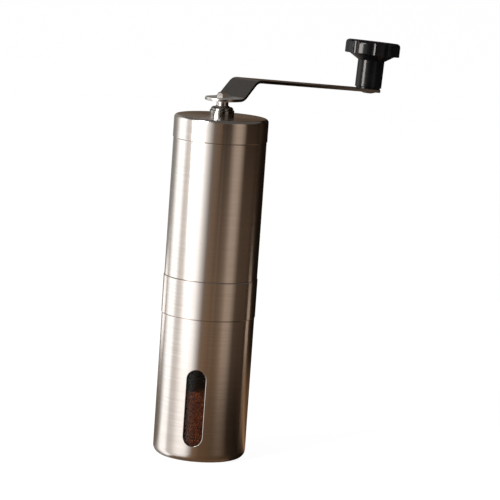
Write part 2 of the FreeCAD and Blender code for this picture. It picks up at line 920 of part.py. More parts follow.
def lid_boss():
    """Turned bushing: flange, fine groove, ring and short collar above the lid, and a threaded tail below it."""
    tail = lid_top - size.steel_wall - size.liner_top - size.lid_nut_height - size.push_gap
    flange = lid_top + size.boss_height
    ring = flange + size.boss_groove + size.boss_ring_height
    groove_radius = size.boss_ring_radius - size.boss_groove
    bevel = size.seam_chamfer
    ring_bevel = size.boss_groove * 2
    collar_radius = shaft_bore + size.boss_collar
    return turned("lid_boss", [
        (shaft_bore, tail),
        (size.boss_tail_radius, tail),
        (size.boss_tail_radius, lid_top),
        (size.boss_radius, lid_top),
        (size.boss_radius, flange - bevel),
        (size.boss_radius - bevel, flange),
        (groove_radius, flange),
        (groove_radius, flange + size.boss_groove),
        (size.boss_ring_radius, flange + size.boss_groove),
        (size.boss_ring_radius, ring - ring_bevel),
        (size.boss_ring_radius - ring_bevel, ring),
        (collar_radius, ring),
        (shaft_bore + bevel, ring + size.boss_collar),
        (shaft_bore, ring + size.boss_collar),
    ])


def lid_nut():
    high = lid_top - size.steel_wall - size.liner_top
    body = new_body("lid_nut")
    sketch = new_sketch(body, "lid_nut_sketch", "XY_Plane", frame_at(z=high - size.lid_nut_height))
    add_loop(sketch, polygon_corners(size.lid_nut_radius, HEXAGON_COUNT))
    add_circle(sketch, size.boss_tail_radius + size.press_gap)
    pad(body, "lid_nut_pad", sketch, size.lid_nut_height)
    return body


def arm_outline():
    """Plan of the arm: a wide round end at the shaft, a narrow one at the knob, and straight sides."""
    wide, narrow, length = size.arm_hub_radius, size.arm_end_radius, size.arm_length
    lean = (wide - narrow) / length
    across = root(1 - lean * lean)
    return [
        (wide * lean, wide * across, left(wide)),
        (-wide, ZERO, left(wide)),
        (wide * lean, -(wide * across)),
        (length + narrow * lean, -(narrow * across), left(narrow)),
        (length + narrow, ZERO, left(narrow)),
        (length + narrow * lean, narrow * across),
    ]


def arm_rim(shape):
    """Names of the upper and lower edges that run along the arm's outline."""
    wide, narrow, length = size.arm_hub_radius.value, size.arm_end_radius.value, size.arm_length.value
    lean = (wide - narrow) / length
    across = math.sqrt(1 - lean * lean)

    def on_outline(point):
        if point.x < wide * lean:
            outside = math.hypot(point.x, point.y) - wide
        elif point.x > length + narrow * lean:
            outside = math.hypot(point.x - length, point.y) - narrow
        else:
            outside = point.x * lean + abs(point.y) * across - wide
        return abs(outside) < TOUCHING

    def runs_along(name):
        box = shape.getElement(name).BoundBox
        return box.XLength + box.YLength > SPREAD

    return [name for name in edges_where(shape, on_outline) if runs_along(name)]


def crank_arm():
    thick = size.arm_thickness
    start = -(size.arm_hub_radius + thick)
    end = size.arm_length + size.arm_end_radius + thick
    half_low = bend_slope / 2
    half_high = (bend_slope + size.arm_fall) / 2
    lean_high = (bend_slope - size.arm_fall) / 2
    shelf = arm_top + size.arm_rise
    drop = tangent(size.arm_fall)
    skew = thick / cosine(half_high)
    under_high = (size.bend_end + skew * sine(lean_high), shelf - skew * cosine(lean_high))
    end_top = shelf - (end - size.bend_end) * drop
    under_low = (size.bend_start + thick * tangent(half_low), arm_bottom)
    body = new_body("crank_arm")
    side = new_sketch(body, "arm_side", "XZ_Plane")
    add_loop(side, [
        (start, arm_bottom),
        under_low,
        under_high,
        (end, end_top - thick / cosine(size.arm_fall)),
        (end, end_top),
        (size.bend_end, shelf),
        (size.bend_start, arm_top),
        (start, arm_top),
    ])
    strip = pad(body, "arm_strip", side, size.arm_hub_radius * 2 + thick)
    strip.SideType = "Symmetric"
    doc.recompute()

    def bend_edges(*places):
        return edges_where(body.Shape, lambda point: any(
            abs(point.x - x.value) < TOUCHING and abs(point.z - z.value) < TOUCHING for x, z in places
        ))

    inner_bends = bend_edges((size.bend_start, arm_top), under_high)
    soften(body, "Fillet", "inner_bends", inner_bends, size.bend_radius)
    outer_bends = bend_edges((size.bend_end, shelf), under_low)
    soften(body, "Fillet", "outer_bends", outer_bends, size.bend_radius + thick)
    plan = new_sketch(body, "arm_plan", "XY_Plane", frame_at(z=arm_bottom - thick))
    add_loop(plan, arm_outline())
    width = size.arm_hub_radius * 2
    add_loop(plan, box_corners(start * 2, end + width, -width, width))
    pocket(body, "arm_trim", plan, size.arm_rise + thick * 4)
    soften(body, "Fillet", "arm_edges", arm_rim(body.Shape), size.arm_edge)
    polygon_bore(body, "shaft_hole", size.shaft_radius + size.run_gap, PENTAGON_COUNT, arm_bottom, thick)
    frame = frame_at(x=size.arm_length, z=seat_level, tilt=size.arm_fall)
    hole = new_sketch(body, "spindle_hole_sketch", "XY_Plane", frame)
    add_circle(hole, size.spindle_foot + size.press_gap)
    pocket(body, "spindle_hole", hole, thick * 4, symmetric=True)
    body.setExpression("Placement", frame_at(turn=size.crank_angle))
    return body


def on_arm_end(body):
    """Places a knob piece, made upright at the origin, square on the arm's outer end."""
    x = size.arm_length * cosine(size.crank_angle)
    y = size.arm_length * sine(size.crank_angle)
    body.setExpression("Placement", frame_at(x=x, y=y, z=seat_level, turn=size.crank_angle, tilt=size.arm_fall))
    return body


knob_bottom = size.washer_thickness
knob_top = knob_bottom + size.knob_height
cap_floor = knob_top - size.cap_height
head_floor = cap_floor - size.spindle_head - size.free_gap * 2
spindle_bore = size.spindle_radius + size.run_gap


def flute_rims(shape):
    """Names of the upright edges between the knob's flutes and lands."""

    def on_head(point):
        return abs(math.hypot(point.x, point.y) - size.head_radius.value) < TOUCHING

    def upright(name):
        box = shape.getElement(name).BoundBox
        return box.XLength + box.YLength < SPREAD

    return [name for name in edges_where(shape, on_head) if upright(name)]


def crank_knob():
    under_head = knob_top - size.head_height
    head_recess = size.spindle_head_radius + size.free_gap
    cap_recess = size.cap_radius + size.press_gap
    foot_bevel = size.free_gap
    body = turned("crank_knob", [
        (spindle_bore, knob_bottom),
        (size.neck_radius - foot_bevel, knob_bottom),
        (size.neck_radius, knob_bottom + foot_bevel),
        (size.neck_radius, under_head - size.neck_flare),
        (size.head_underside, under_head),
        (size.head_radius - foot_bevel, under_head),
        (size.head_radius, under_head + foot_bevel),
        (size.head_radius, knob_top - size.head_round, left(size.head_round)),
        (size.head_radius - size.head_round, knob_top),
        (cap_recess, knob_top),
        (cap_recess, cap_floor),
        (head_recess, cap_floor),
        (head_recess, head_floor),
        (spindle_bore, head_floor),
    ])
    flute_middle = size.head_radius - size.flute_depth + size.flute_radius
    flute = round_bore(body, "flute", size.flute_radius, under_head, size.head_height, x=flute_middle)
    around(body, "flutes", flute, size.flute_count)
    soften(body, "Fillet", "flute_edges", flute_rims(body.Shape), size.flute_edge)
    return on_arm_end(body)


def knob_spindle():
    """Headed pin: turns in the knob, stands on the arm with its shoulder and is riveted under it."""
    under_arm = -size.arm_thickness
    head_low = head_floor + size.press_gap
    rivet_low = under_arm - size.rivet_height
    return on_arm_end(turned("knob_spindle", [
        (ZERO, rivet_low),
        (size.rivet_radius / 2, rivet_low),
        (size.rivet_radius, under_arm - size.rivet_height / 3),
        (size.rivet_radius, under_arm),
        (size.spindle_foot, under_arm),
        (size.spindle_foot, ZERO),
        (size.spindle_radius, ZERO),
        (size.spindle_radius, head_low),
        (size.spindle_head_radius, head_low),
        (size.spindle_head_radius, head_low + size.spindle_head),
        (ZERO, head_low + size.spindle_head),
    ]))


def knob_washer():
    return on_arm_end(washer("knob_washer", spindle_bore, size.knob_washer_radius, ZERO, knob_bottom))


def knob_cap():
    return on_arm_end(turned("knob_cap", [
        (ZERO, cap_floor),
        (size.cap_radius, cap_floor),
        (size.cap_radius, knob_top),
        (ZERO, knob_top),
    ]))


pieces = [
    cup_shell(),
    cup_window(),
    middle_band(),
    hopper_tube(),
    burr_carrier(),
    cup_seal(),
    outer_burr(),
    burr_clamp(),
    *clamp_screws(),
    shaft_bush(),
    drive_shaft(),
    thrust_washer(),
    shaft_clip(),
    spring_washer(),
    burr_spring(),
    inner_burr(),
    burr_hub(),
    adjuster_dial(),
    dial_nut(),
    lid_shell(),
    lid_liner(),
    lid_boss(),
    lid_nut(),
    crank_arm(),
    crank_knob(),
    knob_spindle(),
    knob_washer(),
    knob_cap(),
]
doc.recompute()

for item in doc.Objects:
    if "Invalid" in item.State or "Error" in item.State:
        raise RuntimeError(f"{item.Label} failed to build")
for piece in pieces:
    if piece.Shape.isNull() or not piece.Shape.isValid() or len(piece.Shape.Solids) != 1:
        raise RuntimeError(f"{piece.Label} is not one valid solid")

os.makedirs("parts", exist_ok=True)
for piece in pieces:
    piece.Shape.exportStep(f"parts/{piece.Label}.step")
print(f"{len(pieces)} pieces")
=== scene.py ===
import json
import math

import bmesh
import bpy
from mathutils import Matrix, Vector, noise


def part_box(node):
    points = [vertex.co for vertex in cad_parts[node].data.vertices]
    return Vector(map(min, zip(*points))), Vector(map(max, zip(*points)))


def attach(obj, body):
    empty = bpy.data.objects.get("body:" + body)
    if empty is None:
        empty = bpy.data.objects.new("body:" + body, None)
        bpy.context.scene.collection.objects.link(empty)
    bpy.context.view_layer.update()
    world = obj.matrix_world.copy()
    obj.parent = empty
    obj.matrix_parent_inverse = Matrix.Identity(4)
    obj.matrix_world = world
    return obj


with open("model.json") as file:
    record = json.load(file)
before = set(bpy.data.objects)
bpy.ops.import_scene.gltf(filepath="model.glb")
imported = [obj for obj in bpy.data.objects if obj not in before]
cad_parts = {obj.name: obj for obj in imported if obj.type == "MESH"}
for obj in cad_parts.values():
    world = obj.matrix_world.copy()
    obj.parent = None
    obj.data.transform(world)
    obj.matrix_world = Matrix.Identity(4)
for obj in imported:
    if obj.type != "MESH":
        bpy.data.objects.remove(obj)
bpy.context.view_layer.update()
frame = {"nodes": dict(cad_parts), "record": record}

MM = 0.001

# Camera: a long lens from a little above, turned to the right of the window, rolled so that the grinder leans
CAMERA_AZIMUTH = math.radians(8.3)
CAMERA_ELEVATION = math.radians(8.354)
CAMERA_ROLL = math.radians(4.033)
CAMERA_DISTANCE = 1.5
TARGET_HEIGHT = 110.254 * MM
TARGET_RIGHT = 19.527 * MM
SENSOR_WIDTH = 36.0
LENS = 206.93

# Coffee in the cup; lumps are given by size and depth
SLEEVE_WALL = 1.2 * MM
COFFEE_GAP = 0.25 * MM
COFFEE_LEVEL = 36.4 * MM
COFFEE_HEAP = 3.0 * MM
COFFEE_CORNER = 3.0 * MM
COFFEE_RIM = 0.3 * MM
COFFEE_INSET = 0.15 * MM
COFFEE_SIDE_LUMPS = (1.1 * MM, 0.3 * MM)
COFFEE_TOP_LUMPS = [(5.0 * MM, 1.2 * MM), (1.2 * MM, 0.7 * MM)]
COFFEE_SEGMENTS = 180
COFFEE_ROWS = 60
COFFEE_RINGS = 40

# Crank arm: its strip, how far the painted highlight on the round end fades above it, and where the edge turns
# from painted shade to painted light and blunter, as shares of the way to the knob
ARM_THICKNESS = 1.7 * MM
HUB_ZONE_FULL = 0.1 * MM
HUB_ZONE_NONE = 0.7 * MM
EDGE_DARK = 0.35
EDGE_LIGHT = 0.8
ARM_LINE_DEPTH = 0.001 * MM

# Upright faces, by the size of the normal's rise: none from the first and fully from the second
RISE_NONE = 0.5
RISE_FULL = 0.2

# Where the darkest and the lightest brushing lines lie in their noise
LINES_DARK = 0.25
LINES_LIGHT = 0.75

# Turned or brushed metals: dark and light tone, roughness, anisotropy, pitch and depth of the lines
TURNED_METALS = {
    "brushed_steel": ((0.56, 0.535, 0.515), (0.69, 0.665, 0.645), (0.15, 0.25), 0.82, 0.4 * MM, 0.003 * MM),
    "bright_steel": ((0.36, 0.35, 0.34), (0.48, 0.47, 0.46), (0.14, 0.24), 0.4, 0.2 * MM, 0.004 * MM),
    "polished_boss": ((0.20, 0.195, 0.19), (0.26, 0.255, 0.25), (0.06, 0.11), 0.3, 0.25 * MM, 0.002 * MM),
    "bush_brass": ((0.58, 0.42, 0.18), (0.74, 0.57, 0.28), (0.2, 0.34), 0.4, 0.2 * MM, 0.004 * MM),
}

# Plastics and rubber: dark and light tone, roughness, size and depth of the grain, gloss
MOULDED = {
    "black_plastic": ((0.003, 0.003, 0.004), (0.006, 0.006, 0.007), (0.12, 0.2), 0.35 * MM, 0.0012 * MM, 0.17),
    "inner_plastic": ((0.020, 0.020, 0.021), (0.036, 0.035, 0.035), (0.42, 0.6), 0.25 * MM, 0.012 * MM, 0.5),
    "seal_rubber": ((0.010, 0.010, 0.010), (0.022, 0.021, 0.021), (0.6, 0.8), 0.15 * MM, 0.01 * MM, 0.5),
}

# Studio: a drum round the grinder that only shiny surfaces see, white on the left and warm and dark on the right.
# The wall's glow runs evenly from stop to stop: a bearing in degrees from the camera, right of it positive,
# a tone and a level.
WHITE = (1.0, 0.985, 0.965)
CREAM = (1.0, 0.96, 0.93)
IVORY = (1.0, 0.93, 0.87)
SAND = (1.0, 0.77, 0.60)
UMBER = (1.0, 0.65, 0.43)
SOOT = (1.0, 0.62, 0.40)
AMBER = (1.0, 0.56, 0.28)
GLOW_STOPS = "glow"
DRUM_RADIUS = 2.0
DRUM_LOW = -2.2
DRUM_HIGH = 1.3
DRUM_WALL = [
    (-180, UMBER, 0.12),
    (-166, IVORY, 0.34),
    (-144, IVORY, 0.30),
    (-130, IVORY, 0.56),
    (-113, WHITE, 1.80),
    (-95, WHITE, 1.80),
    (-86, IVORY, 0.90),
    (-74, IVORY, 0.92),
    (-57, CREAM, 1.34),
    (-34, CREAM, 1.38),
    (-14, SAND, 0.22),
    (0, UMBER, 0.20),
    (8, UMBER, 0.145),
    (12, SAND, 0.22),
    (16, UMBER, 0.145),
    (32, SAND, 0.25),
    (42, SAND, 0.52),
    (53, SAND, 0.50),
    (68, UMBER, 0.115),
    (98, SOOT, 0.10),
    (107, SOOT, 0.05),
    (134, SOOT, 0.012),
    (170, SOOT, 0.012),
    (180, UMBER, 0.12),
]
DRUM_END_RADIUS = 1.05 * DRUM_RADIUS
DRUM_CEILING = (0.115, 0.108, 0.102)
DRUM_FLOOR = (0.16, 0.09, 0.05)
DISC_SEGMENTS = 96

# Table top round the cup: bearing and tone, then level and share of the drum that it hides, near the cup and
# further out
TABLE_HEIGHT = -0.5 * MM
TABLE_HOLE = 0.025
TABLE_NEAR = 0.20
TABLE_FAR = 0.30
TABLE_RADIUS = 0.65
TABLE_TOP = [
    (-180, AMBER, 0.22, 0.60, 0.22, 0.0),
    (-150, AMBER, 0.12, 0.70, 0.12, 0.0),
    (-122, AMBER, 0.12, 0.60, 0.12, 0.0),
    (-104, AMBER, 0.20, 0.12, 0.20, 0.0),
    (-34, AMBER, 0.20, 0.12, 0.20, 0.0),
    (-24, AMBER, 0.20, 0.25, 0.34, 0.1),
    (-12, AMBER, 0.22, 0.90, 0.34, 0.5),
    (0, AMBER, 0.15, 0.95, 0.34, 0.6),
    (24, AMBER, 0.10, 0.95, 0.32, 0.6),
    (36, AMBER, 0.08, 0.90, 0.62, 0.35),
    (60, SOOT, 0.02, 0.95, 0.10, 0.1),
    (84, SOOT, 0.01, 1.00, 0.02, 0.3),
    (106, SOOT, 0.06, 0.90, 0.02, 0.2),
    (120, AMBER, 0.45, 0.85, 0.45, 0.2),
    (134, AMBER, 0.16, 0.75, 0.16, 0.0),
    (150, AMBER, 0.19, 0.75, 0.19, 0.0),
    (180, AMBER, 0.22, 0.60, 0.22, 0.0),
]

# Dark screens to the right of the grinder: first and last bearing
SCREENS = [(6, 29), (64, 108)]
SCREEN_RADIUS = 0.45
SCREEN_LOW = 0.115
SCREEN_HIGH = 0.26
SCREEN_LEVEL = 0.012
SCREEN_STEPS = 8

# Floor and background: how much of the floor's own glow shows in the picture, and the light that the world adds
FLOOR_RADIUS = 6.0
FLOOR_COLOUR = (0.86, 0.86, 0.86)
FLOOR_ROUGHNESS = 0.9
FLOOR_GLOSS = 0.1
FLOOR_SHARE = 0.8
FLOOR_GLOW = 1.15
AMBIENT = 0.4

# Directions round the camera's line of sight
to_camera = Vector((math.sin(CAMERA_AZIMUTH), -math.cos(CAMERA_AZIMUTH), 0.0))
to_right = Vector((math.cos(CAMERA_AZIMUTH), math.sin(CAMERA_AZIMUTH), 0.0))


def heading(bearing):
    """Level direction at a bearing in degrees from the camera, right of it positive."""
    turn = math.radians(bearing)
    return to_camera * math.cos(turn) + to_right * math.sin(turn)


def upward(height):
    return Vector((0.0, 0.0, height))


def crank_reach():
    """Middle of the knob's spindle, as seen from the grinder's axis."""
    low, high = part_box("knob_spindle")
    return (low + high) / 2


def link(name, data):
    thing = bpy.data.objects.new(name, data)
    bpy.context.scene.collection.objects.link(thing)
    return thing


def build(name, mesh, material):
    """Object with one material from a bmesh, which is freed."""
    data = bpy.data.meshes.new(name)
    mesh.to_mesh(data)
    mesh.free()
    data.materials.append(material)
    return link(name, data)


def socket_name(key):
    """Name of a socket from a keyword."""
    return key.replace("_", " ").title().replace("Ior", "IOR")


class Shader:
    """A node material with one Principled shader, and short ways to add the nodes that drive it."""

    def __init__(self, name, **values):
        self.material = bpy.data.materials.new(name)
        self.material.use_nodes = True
        self.tree = self.material.node_tree
        self.principled = self.tree.nodes["Principled BSDF"]
        for key, value in values.items():
            self.principled.inputs[socket_name(key)].default_value = value

    def node(self, kind, settings=None, **sockets):
        node = self.tree.nodes.new(kind)
        for key, value in (settings or {}).items():
            setattr(node, key, value)
        for key, value in sockets.items():
            node.inputs[socket_name(key)].default_value = value
        return node

    def link(self, output, target):
        self.tree.links.new(output, target)

    def drive(self, socket, output):
        self.link(output, self.principled.inputs[socket])

    def place(self, scale, turn=0.0):
        """The piece's own coordinates, turned about Z and scaled per axis to a count of features per metre."""
        coordinates = self.node("ShaderNodeTexCoord")
        turned = self.node("ShaderNodeMapping", rotation=(0.0, 0.0, turn))
        mapping = self.node("ShaderNodeMapping", scale=scale)
        self.link(coordinates.outputs["Object"], turned.inputs["Vector"])
        self.link(turned.outputs["Vector"], mapping.inputs["Vector"])
        return mapping.outputs["Vector"]

    def axis(self, vector, name):
        """One part of a vector."""
        parts = self.node("ShaderNodeSeparateXYZ")
        self.link(vector, parts.inputs["Vector"])
        return parts.outputs[name]

    def noise(self, place, detail=3.0, roughness=0.55):
        texture = self.node("ShaderNodeTexNoise", scale=1.0, detail=detail, roughness=roughness)
        self.link(place, texture.inputs["Vector"])
        return texture.outputs["Fac"]

    def cells(self, place):
        """Distance to the nearest grain, and a brightness of the grain's own."""
        texture = self.node("ShaderNodeTexVoronoi", scale=1.0)
        grey = self.node("ShaderNodeRGBToBW")
        self.link(place, texture.inputs["Vector"])
        self.link(texture.outputs["Color"], grey.inputs["Color"])
        return texture.outputs["Distance"], grey.outputs["Val"]

    def ramp(self, factor, *stops):
        """Colour ramp through (position, colour) stops."""
        ramp = self.node("ShaderNodeValToRGB")
        elements = ramp.color_ramp.elements
        while len(elements) < len(stops):
            elements.new(0.5)
        for element, (position, colour) in zip(elements, stops):
            element.position = position
            element.color = (*colour, 1.0)
        self.link(factor, ramp.inputs["Fac"])
        return ramp.outputs["Color"]

    def lined(self, lines, dark, light):
        """Two tones of metal in brushing lines."""
        return self.ramp(lines, (LINES_DARK, dark), (LINES_LIGHT, light))

    def maths(self, operation, *terms):
        """A sum on outputs and plain numbers."""
        step = self.node("ShaderNodeMath", {"operation": operation})
        for socket, term in zip(step.inputs, terms):
            if isinstance(term, float):
                socket.default_value = term
            else:
                self.link(term, socket)
        return step.outputs["Value"]

    def average(self, first, second):
        return self.maths("MULTIPLY_ADD", first, 0.5, self.maths("MULTIPLY", second, 0.5))

    def spread(self, value, **ends):
        """A value mapped from one range to another, 0 to 1 where an end isn't given, and held at the ends."""
        spread = self.node("ShaderNodeMapRange", **ends)
        self.link(value, spread.inputs["Value"])
        return spread.outputs["Result"]

    def between(self, factor, low, high):
        """A factor of 0 to 1 spread over low to high."""
        return self.spread(factor, to_min=low, to_max=high)

    def below(self, full, none):
        """1 up to the first height of the piece and 0 from the second."""
        height = self.axis(self.place((1.0, 1.0, 1.0)), "Z")
        return self.spread(height, from_min=none, from_max=full)

    def along(self, bearing, none, full):
        """0 up to the first distance from the axis in a direction, and 1 from the second."""
        distance = self.axis(self.place((1.0, 1.0, 1.0), -bearing), "X")
        return self.spread(distance, from_min=none, from_max=full)

    def upright(self):
        """1 on faces that stand upright and 0 on level and sloping ones."""
        normal = self.node("ShaderNodeNewGeometry").outputs["Normal"]
        rise = self.maths("ABSOLUTE", self.axis(normal, "Z"))
        return self.spread(rise, from_min=RISE_NONE, from_max=RISE_FULL)

    def mix(self, factor, first, second, kind):
        """The first where the factor is 0 and the second where it is 1."""
        mix = self.node("ShaderNodeMix", {"data_type": kind})
        used = [socket for socket in mix.inputs if socket.enabled]
        for output, socket in zip((factor, first, second), used):
            self.link(output, socket)
        return next(socket for socket in mix.outputs if socket.enabled)

    def bump(self, height, depth):
        bump = self.node("ShaderNodeBump", strength=1.0, distance=depth)
        self.link(height, bump.inputs["Height"])
        self.drive("Normal", bump.outputs["Normal"])

    def brush_round_z(self, turn):
        """Stretches highlights across brushing that runs round Z, or along rays from Z after a quarter turn."""
        tangent = self.node("ShaderNodeTangent", {"direction_type": "RADIAL", "axis": "Z"})
        self.drive("Tangent", tangent.outputs["Tangent"])
        self.principled.inputs["Anisotropic Rotation"].default_value = turn


def turned_metal(name, dark, light, roughness, anisotropic, line_pitch, line_depth):
    """Metal brushed or turned round the grinder's axis: fine rings, cloudy patches and a little wear."""
    shader = Shader(name, metallic=1.0, anisotropic=anisotropic)
    lines = shader.noise(shader.place((40.0, 40.0, 1.0 / line_pitch)), detail=4.0, roughness=0.7)
    clouds = shader.noise(shader.place((45.0, 45.0, 30.0)), detail=2.0)
    shader.drive("Base Color", shader.lined(lines, dark, light))
    shader.drive("Roughness", shader.between(shader.average(lines, clouds), *roughness))
    shader.bump(lines, line_depth)
    shader.brush_round_z(0.25)
    return shader.material


def arm_steel():
    """Satin steel strip, brushed along its length, with a painted highlight on the flat round the shaft. Its
    sheared edges carry painted shade near the shaft, and painted light and more roughness towards the knob."""
    reach = crank_reach().xy.length
    bearing = math.atan2(*reversed(crank_reach()[:2]))
    hub_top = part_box("crank_arm")[0].z + ARM_THICKNESS
    shader = Shader("arm_steel", metallic=1.0, anisotropic=0.5)
    lines = shader.noise(shader.place((25.0, 2500.0, 2500.0), -bearing), detail=4.0, roughness=0.65)
    clouds = shader.noise(shader.place((90.0, 90.0, 90.0)), detail=3.0)
    edge = shader.upright()
    # Hub zone round the shaft: its flat face gets a painted highlight in the base colour
    hub = shader.below(hub_top + HUB_ZONE_FULL, hub_top + HUB_ZONE_NONE)
    # Edges carry painted shade up to the first share of the reach and painted light from the second
    towards_knob = shader.along(bearing, EDGE_DARK * reach, EDGE_LIGHT * reach)

    def tone(dark, light):
        return shader.lined(lines, dark, light)

    def gloss(low, high):
        return shader.between(clouds, low, high)

    def by_zone(kind, face, edge_by_shaft, edge_by_knob, hub_face, hub_edge):
        strip_edge = shader.mix(towards_knob, edge_by_shaft, edge_by_knob, kind)
        strip = shader.mix(edge, face, strip_edge, kind)
        return shader.mix(hub, strip, shader.mix(edge, hub_face, hub_edge, kind), kind)

    shader.drive("Base Color", by_zone(
        "RGBA",
        face=tone((0.36, 0.35, 0.34), (0.48, 0.47, 0.46)),
        # Painted shade on the sheared edges near the shaft, painted light on them towards the knob
        edge_by_shaft=tone((0.07, 0.065, 0.06), (0.13, 0.12, 0.11)),
        edge_by_knob=tone((0.58, 0.57, 0.56), (0.68, 0.67, 0.66)),
        # Painted highlight on the hub's flat face
        hub_face=tone((0.74, 0.73, 0.72), (0.86, 0.85, 0.84)),
        hub_edge=tone((0.30, 0.29, 0.28), (0.40, 0.39, 0.38)),
    ))
    satin = gloss(0.18, 0.3)
    shader.drive("Roughness", by_zone(
        "FLOAT",
        face=satin,
        edge_by_shaft=satin,
        edge_by_knob=gloss(0.42, 0.55),
        hub_face=gloss(0.45, 0.6),
        hub_edge=gloss(0.16, 0.24),
    ))
    shader.bump(lines, ARM_LINE_DEPTH)
    shader.brush_round_z(0.0)
    return shader.material


def plastic(name, dark, light, roughness, grain, grain_depth, gloss):
    """Moulded plastic: a fine orange-peel surface with slight changes of shade and gloss."""
    shader = Shader(name, specular_ior_level=gloss)
    skin = shader.noise(shader.place((1.0 / grain,) * 3), detail=2.0)
    clouds = shader.noise(shader.place((160.0, 160.0, 160.0)), detail=3.0)
    shader.drive("Base Color", shader.ramp(clouds, (0.3, dark), (0.7, light)))
    shader.drive("Roughness", shader.between(clouds, *roughness))
    shader.bump(skin, grain_depth)
    return shader.material


def clear_plastic():
    """Thin clear sleeve with a faint smoky tint and fine rubbing marks."""
    shader = Shader("clear_plastic", alpha=0.15, specular_ior_level=1.0)
    marks = shader.noise(shader.place((300.0, 300.0, 120.0)), detail=5.0)
    shader.drive("Base Color", shader.ramp(marks, (0.3, (0.006, 0.006, 0.006)), (0.7, (0.012, 0.012, 0.011))))
    shader.drive("Roughness", shader.between(marks, 0.05, 0.16))
    return shader.material


def ceramic():
    """Fired white ceramic with a dry, finely speckled surface and a little coffee stain."""
    shader = Shader("burr_ceramic")
    speckle = shader.noise(shader.place((1400.0, 1400.0, 1400.0)), detail=3.0)
    stain = shader.noise(shader.place((170.0, 170.0, 170.0)), detail=4.0)
    shader.drive("Base Color", shader.ramp(stain, (0.32, (0.66, 0.58, 0.48)), (0.5, (0.84, 0.81, 0.76))))
    shader.drive("Roughness", shader.between(speckle, 0.45, 0.7))
    shader.bump(speckle, 0.02 * MM)
    return shader.material


def coffee_material():
    """Ground coffee: packed reddish-brown grains of mixed shade."""
    shader = Shader("coffee_grounds", specular_ior_level=0.06)
    distance, brightness = shader.cells(shader.place((1300.0, 1300.0, 1300.0)))
    coarse = shader.noise(shader.place((420.0, 420.0, 420.0)), detail=4.0)
    shader.drive("Base Color", shader.ramp(
        shader.maths("MULTIPLY", brightness, coarse),
        (0.05, (0.033, 0.0074, 0.0022)),
        (0.30, (0.095, 0.0215, 0.0062)),
        (0.55, (0.200, 0.0480, 0.0150)),
    ))
    shader.drive("Roughness", shader.between(coarse, 0.6, 0.9))
    shader.bump(distance, 0.5 * MM)
    return shader.material


def dress_nodes():
    """Gives every CAD node the material of its slot."""
    finishes = {
        "arm_steel": arm_steel(),
        "clear_plastic": clear_plastic(),
        "burr_ceramic": ceramic(),
    }
    finishes.update((name, turned_metal(name, *look)) for name, look in TURNED_METALS.items())
    finishes.update((name, plastic(name, *look)) for name, look in MOULDED.items())
    for subpart in frame["record"]["subparts"]:
        mesh = frame["nodes"][subpart["node"]].data
        mesh.materials.clear()
        mesh.materials.append(finishes[subpart["material_slot"]])


def coffee_grounds():
    """Heap of ground coffee in the cup: lumpy against the sleeve, domed under the burrs."""
    low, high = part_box("cup_window")
    radius = (high.x - low.x) / 2 - SLEEVE_WALL - COFFEE_GAP
    floor = low.z + SLEEVE_WALL + COFFEE_GAP

    def lump(point, size, depth):
        return noise.noise(point / size) * depth

    def ring_point(angle, reach, height):
        return Vector((math.cos(angle) * reach, math.sin(angle) * reach, height))

    def side(angle, height):
        tuck = max(0.0, 1.0 - (height - floor) / COFFEE_CORNER)
        reach = radius - COFFEE_CORNER * (1.0 - math.sqrt(1.0 - tuck * tuck))
        reach -= COFFEE_INSET + abs(lump(ring_point(angle, reach, height), *COFFEE_SIDE_LUMPS))
        return ring_point(angle, reach, height)

    def top(angle, share):
        reach = (radius - COFFEE_RIM) * share
        heap = COFFEE_HEAP * (0.5 + 0.5 * math.cos(math.pi * share))
        grains = sum(lump(ring_point(angle, reach, 0.0), *lumps) for lumps in COFFEE_TOP_LUMPS)
        return ring_point(angle, reach, COFFEE_LEVEL + heap + grains)

    mesh = bmesh.new()
    angles = [2 * math.pi * step / COFFEE_SEGMENTS for step in range(COFFEE_SEGMENTS)]
    rims = [
        [mesh.verts.new(top(angle, 1.0 - ring / COFFEE_RINGS)) for angle in angles]
        for ring in range(COFFEE_RINGS)
    ]
    walls = [
        [mesh.verts.new(side(angle, floor + (top(angle, 1.0).z - floor) * row / COFFEE_ROWS)) for angle in angles]
        for row in range(COFFEE_ROWS)
    ]
    loops = walls + rims
    for lower, upper in zip(loops, loops[1:]):
        for step in range(COFFEE_SEGMENTS):
            after = (step + 1) % COFFEE_SEGMENTS
            mesh.faces.new((lower[step], lower[after], upper[after], upper[step]))
    mesh.faces.new(list(reversed(walls[0])))
    mesh.faces.new(rims[-1])
    grounds = build("coffee_grounds", mesh, coffee_material())
    grounds.data.shade_smooth()
    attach(grounds, "cup")


def glow_card(name, mesh, material):
    """Stage card that only reflections show."""
    card = build(name, mesh, material)
    card.visible_camera = False
    card.visible_diffuse = False
    card.visible_shadow = False


def glow_material(name, tone=WHITE, level=1.0):
    """Material that only glows, and its glow node."""
    material = bpy.data.materials.new(name)
    material.use_nodes = True
    nodes = material.node_tree.nodes
    nodes.remove(nodes["Principled BSDF"])
    glow = nodes.new("ShaderNodeEmission")
    glow.inputs["Color"].default_value = (*(part * level for part in tone), 1.0)
    material.node_tree.links.new(glow.outputs["Emission"], nodes["Material Output"].inputs["Surface"])
    return material, glow


def glow_stops(material, glow):
    """Takes the glow's colour from the stops on the mesh."""
    tree = material.node_tree
    stops = tree.nodes.new("ShaderNodeAttribute")
    stops.attribute_name = GLOW_STOPS
    tree.links.new(stops.outputs["Color"], glow.inputs["Color"])
    return stops


def mix_surfaces(tree, share, first, second):
    """Makes the surface the first shader where the share is 0 and the second where it is 1."""
    mix = tree.nodes.new("ShaderNodeMixShader")
    for output, socket in zip((share, first, second), mix.inputs):
        tree.links.new(output, socket)
    tree.links.new(mix.outputs["Shader"], tree.nodes["Material Output"].inputs["Surface"])


